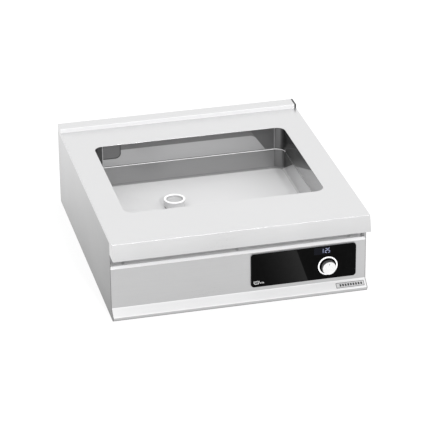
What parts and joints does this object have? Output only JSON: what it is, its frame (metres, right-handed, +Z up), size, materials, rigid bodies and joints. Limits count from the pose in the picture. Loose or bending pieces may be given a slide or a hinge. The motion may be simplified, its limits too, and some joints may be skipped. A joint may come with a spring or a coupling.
{
  "type": "countertop electric heated well",
  "caption": "Stainless countertop electric water-bath well with a deep rectangular basin, lift-out drain plug, slanted fascia, rear upstand and a black glass panel with display and knob.",
  "frame": {"origin": "middle of the footprint, on the surface the unit stands on", "axes": "+X to the operator's right, +Y from the control panel to the rear upstand, +Z up"},
  "size_m": [0.8, 0.9, 0.28],
  "materials": {
    "steel_deck": "satin",
    "steel_side": "satin",
    "steel_front": "satin",
    "steel_well": "bright",
    "steel_polished": "polished",
    "galvanised": "galvanised",
    "fasteners": "plain",
    "black_plastic": "matte",
    "grey_plastic": "matte",
    "seal_rubber": "matte",
    "brass": "plain",
    "aluminium": "plain",
    "element_sheath": "heat-tinted",
    "ceramic": "glazed",
    "insulation": "fibrous",
    "gasket_grey": "matte",
    "black_glass": "back-printed black glass",
    "board_green": "lacquered",
    "display": "gloss",
    "light_ring": "frosted",
    "knob_aluminium": "spun",
    "cable_black": "matte",
    "plate_silver": "satin"
  },
  "bodies": {
    "casing": {"worktop": "steel_deck", "upstand_end_plug": "black_plastic", "left_side_panel": "steel_side", "right_side_panel": "steel_side", "rear_panel": "steel_side", "base_tray": "galvanised", "front_panel": "steel_front", "channel_wall": "steel_side", "front_rail": "galvanised", "channel_screws": "fasteners", "rear_panel_screws": "fasteners", "base_screws": "fasteners", "well_collar": "steel_well", "well_pan": "steel_well", "well_seal": "seal_rubber", "left_well_bracket": "galvanised", "right_well_bracket": "galvanised", "drain_body": "steel_polished", "drain_gasket": "seal_rubber", "drain_nut": "brass", "drain_tail": "brass", "heat_spreader": "aluminium", "left_heating_element": "element_sheath", "right_heating_element": "element_sheath", "element_terminals": "ceramic", "element_clamps": "galvanised", "insulation_blanket": "insulation", "insulation_tray": "galvanised", "temperature_probe": "steel_polished", "probe_clip": "galvanised", "safety_thermostat": "black_plastic", "control_gasket": "gasket_grey", "control_glass": "black_glass", "control_housing": "black_plastic", "circuit_board": "board_green", "display_module": "display", "knob_light_ring": "light_ring", "encoder_bush": "brass", "encoder_nut": "fasteners", "encoder_body": "black_plastic", "mounting_rail": "galvanised", "contactor": "grey_plastic", "terminal_block": "grey_plastic", "supply_loom": "cable_black", "cable_gland": "black_plastic", "gland_nut": "black_plastic", "bonding_stud": "brass", "bonding_nuts": "brass", "maker_plate": "plate_silver", "rating_plate": "plate_silver"},
    "rotor": {"encoder_rotor": "brass"},
    "knob": {"knob_cap": "knob_aluminium", "knob_core": "black_plastic", "encoder_shaft": "brass"},
    "plug": {"drain_plug": "steel_polished", "plug_seal": "seal_rubber"}
  },
  "joints": [
    {"name": "knob_spin", "type": "hinge", "parent": "casing", "child": "rotor", "pos_m": [0.2775, -0.3915, 0.0925], "axis": [0, -1, 0], "continuous": true},
    {"name": "knob_press", "type": "slide", "parent": "rotor", "child": "knob", "axis": [0, 1, 0], "range_m": [0, 0.001], "stiffness_N_per_m": 2000, "springref_m": -0.0006},
    {"name": "plug_lift", "type": "slide", "parent": "casing", "child": "plug", "axis": [0, 0, 1], "range_m": [0, 0.18]}
  ]
}
